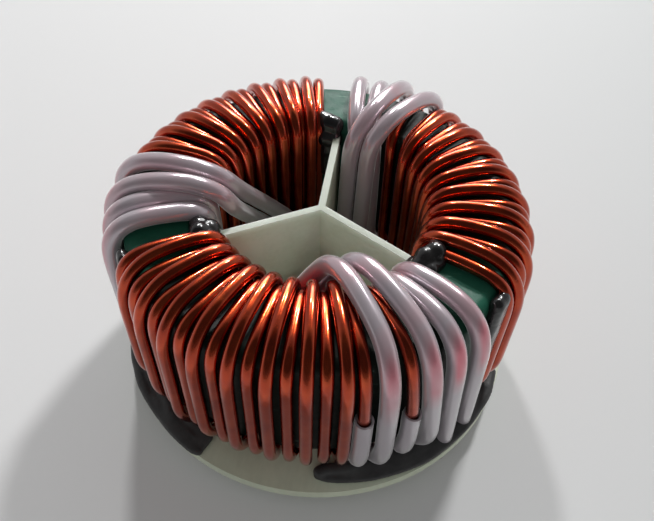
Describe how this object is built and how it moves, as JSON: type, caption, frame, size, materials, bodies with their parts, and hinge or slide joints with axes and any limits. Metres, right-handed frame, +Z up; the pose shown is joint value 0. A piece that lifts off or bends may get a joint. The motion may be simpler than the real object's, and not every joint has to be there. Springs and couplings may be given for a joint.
{
  "type": "toroidal inductor",
  "caption": "Toroidal inductor on a round base plate: three enamelled-wire windings on one ring core, kept apart by a Y-shaped divider, with sleeved leads and solder pins.",
  "frame": {"origin": "centre of the base plate's underside", "axes": "+Z up along the ring's axis, +Y along one arm of the divider"},
  "size_m": [0.0732, 0.0727, 0.0455],
  "materials": {
    "core_coat": "green epoxy coat, satin",
    "board": "glass-fibre board, satin",
    "divider_board": "glass-fibre board, satin",
    "enamelled_wire": "copper under glossy red-brown enamel",
    "sleeving": "thin translucent sleeving, glossy",
    "glue": "black silicone-like glue, glossy"
  },
  "bodies": {
    "root": {"core": "core_coat", "base_plate": "board", "divider": "divider_board", "winding_1a": "enamelled_wire", "winding_1b": "enamelled_wire", "winding_2a": "enamelled_wire", "winding_2b": "enamelled_wire", "winding_3a": "enamelled_wire", "winding_3b": "enamelled_wire", "start_sleeve_1a": "sleeving", "start_sleeve_1b": "sleeving", "start_sleeve_2a": "sleeving", "start_sleeve_2b": "sleeving", "start_sleeve_3a": "sleeving", "start_sleeve_3b": "sleeving", "finish_sleeve_1a": "sleeving", "finish_sleeve_1b": "sleeving", "finish_sleeve_2a": "sleeving", "finish_sleeve_2b": "sleeving", "finish_sleeve_3a": "sleeving", "finish_sleeve_3b": "sleeving", "glue_dab_1": "glue", "glue_dab_2": "glue", "glue_dab_3": "glue", "glue_run_1": "glue", "glue_run_2": "glue", "glue_run_3": "glue", "glue_bead_1": "glue", "glue_bead_2": "glue", "glue_bead_3": "glue"}
  },
  "joints": []
}
